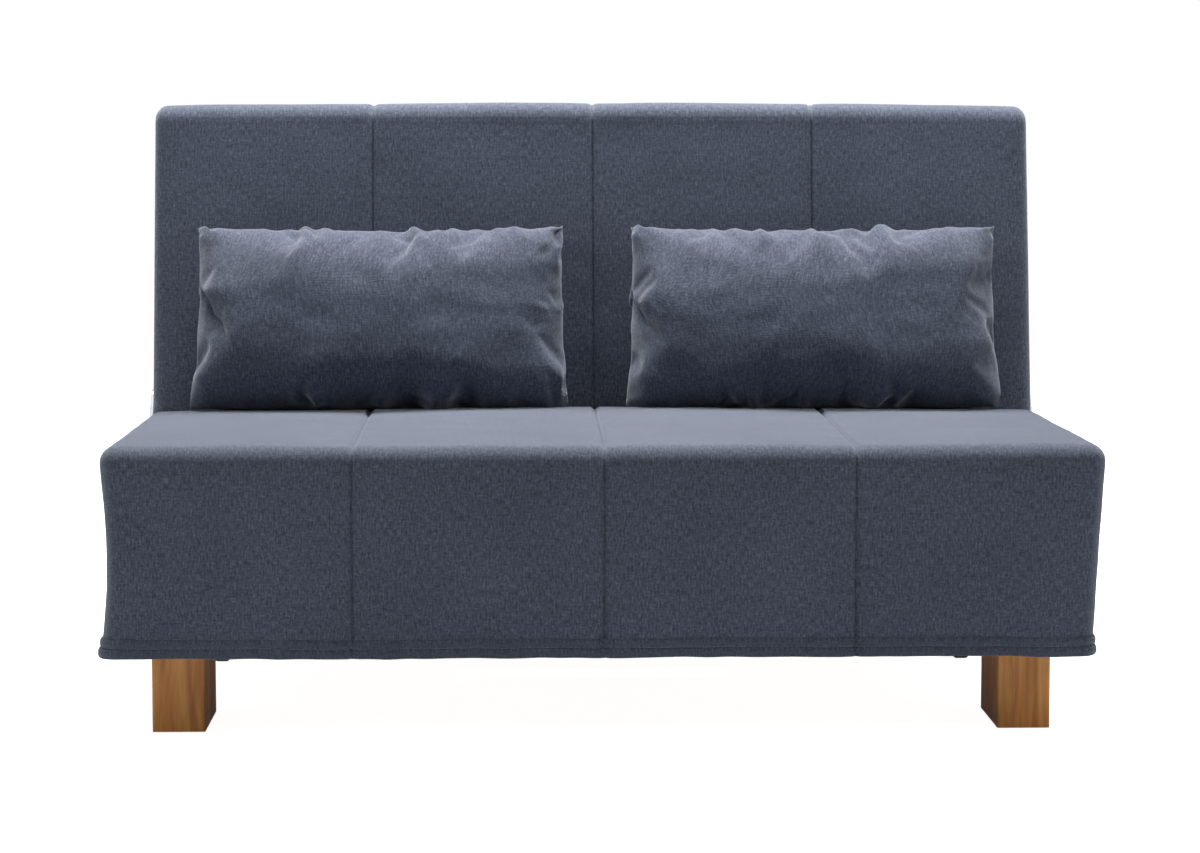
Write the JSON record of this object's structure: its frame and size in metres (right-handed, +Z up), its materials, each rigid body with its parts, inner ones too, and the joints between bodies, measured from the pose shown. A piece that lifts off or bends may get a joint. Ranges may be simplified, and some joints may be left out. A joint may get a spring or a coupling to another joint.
{
  "type": "sofa bed",
  "caption": "Armless two-seat sofa bed on block legs: the cushioned back folds out in an accordion to make a flat bed, with loose lumbar pillows.",
  "frame": {"origin": "on the floor, at the middle of the sofa's footprint", "axes": "+X to the viewer's right along the width, -Y out of the seat's front, +Z up"},
  "size_m": [1.434, 1.0764, 0.895],
  "materials": {
    "upholstery_fabric": "slate-blue woven cloth, matt, flecked",
    "pillow_fabric": "the same woven cloth, softly filled",
    "hem_cord": "cord rolled into the cover's hem",
    "stained_wood": "stained and satin lacquered solid wood",
    "pine_board": "planed softwood",
    "birch_slat": "laminated birch, clear lacquer",
    "black_plastic": "moulded, matt",
    "foam": "open-cell cushion foam",
    "pillow_filling": "fibre filling",
    "felt": "pressed felt",
    "zinc_steel": "zinc plated",
    "hinge_steel": "zinc plated, rolled plate",
    "black_steel": "black powder coat",
    "castor_rubber": "grey-black rubber tread"
  },
  "bodies": {
    "seat_unit": {"seat_front_board": "pine_board", "seat_side_board_left": "pine_board", "seat_side_board_right": "pine_board", "seat_rear_board": "pine_board", "seat_centre_beam": "pine_board", "seat_slats": "birch_slat", "seat_slat_caps": "black_plastic", "seat_foam": "foam", "seat_front_pad": "foam", "seat_cover": "upholstery_fabric", "seat_hem": "hem_cord", "front_leg_left": "stained_wood", "front_leg_right": "stained_wood", "leg_plates": "zinc_steel", "leg_bolts": "zinc_steel", "leg_glides": "felt", "rear_crossbeam": "pine_board", "castor_forks": "zinc_steel", "castor_axles": "zinc_steel", "seat_hinge_plates": "hinge_steel", "seat_hinge_pins": "zinc_steel", "seat_hinge_screws": "zinc_steel"},
    "castor_left": {"castor_wheel_left": "castor_rubber"},
    "castor_right": {"castor_wheel_right": "castor_rubber"},
    "front_section": {"front_section_rail_left": "black_steel", "front_section_rail_right": "black_steel", "front_section_top_rail": "black_steel", "front_section_bottom_rail": "black_steel", "front_section_centre_beam": "black_steel", "front_section_slats": "birch_slat", "front_section_slat_caps": "black_plastic", "front_section_foam": "foam", "front_section_cover": "upholstery_fabric", "front_section_hinge_plates": "hinge_steel", "front_section_ridge_plates": "hinge_steel", "ridge_pins": "zinc_steel", "swing_leg_bolts": "zinc_steel"},
    "rear_section": {"rear_section_rail_left": "black_steel", "rear_section_rail_right": "black_steel", "rear_section_top_rail": "black_steel", "rear_section_bottom_rail": "black_steel", "rear_section_centre_beam": "black_steel", "rear_section_slats": "birch_slat", "rear_section_slat_caps": "black_plastic", "rear_section_foam": "foam", "rear_section_cover": "upholstery_fabric", "rear_section_hinge_plates": "hinge_steel", "rear_section_ridge_plates": "hinge_steel"},
    "swing_leg": {"swing_leg_uprights": "black_steel", "swing_leg_bar": "black_steel"},
    "rear_stand": {"stand_beam": "pine_board", "stand_legs": "stained_wood", "stand_glides": "felt", "stand_plates": "hinge_steel", "stand_pins": "zinc_steel", "stand_screws": "zinc_steel"},
    "pillow_left": {"pillow_cover_left": "pillow_fabric", "pillow_fill_left": "pillow_filling"},
    "pillow_right": {"pillow_cover_right": "pillow_fabric", "pillow_fill_right": "pillow_filling"}
  },
  "joints": [
    {"name": "back_fold", "type": "hinge", "parent": "seat_unit", "child": "front_section", "pos_m": [0, 0.1447, 0.343], "axis": [-1, 0, 0], "range_deg": [0, 80]},
    {"name": "ridge_fold", "type": "hinge", "parent": "front_section", "child": "rear_section", "pos_m": [0, 0.30119, 0.88499], "axis": [1, 0, 0], "range_deg": [0, 160]},
    {"name": "stand_fold", "type": "hinge", "parent": "rear_section", "child": "rear_stand", "pos_m": [0, 0.45769, 0.343], "axis": [-1, 0, 0], "range_deg": [0, 80]},
    {"name": "swing_leg_fold", "type": "hinge", "parent": "front_section", "child": "swing_leg", "pos_m": [0, 0.27357, 0.81472], "axis": [1, 0, 0], "range_deg": [0, 80]},
    {"name": "castor_left_roll", "type": "hinge", "parent": "seat_unit", "child": "castor_left", "pos_m": [-0.6, 0.17177, 0.04], "axis": [1, 0, 0], "continuous": true},
    {"name": "castor_right_roll", "type": "hinge", "parent": "seat_unit", "child": "castor_right", "pos_m": [0.6, 0.17177, 0.04], "axis": [1, 0, 0], "continuous": true},
    {"name": "pillow_left_lift", "type": "slide", "parent": "seat_unit", "child": "pillow_left", "axis": [0, 0, 1], "range_m": [0, 0.45]},
    {"name": "pillow_right_lift", "type": "slide", "parent": "seat_unit", "child": "pillow_right", "axis": [0, 0, 1], "range_m": [0, 0.45]}
  ],
  "couplings": [
    {"joint": "ridge_fold", "follows": "back_fold", "ratio": 2},
    {"joint": "stand_fold", "follows": "back_fold", "ratio": 1},
    {"joint": "swing_leg_fold", "follows": "back_fold", "ratio": 1}
  ]
}
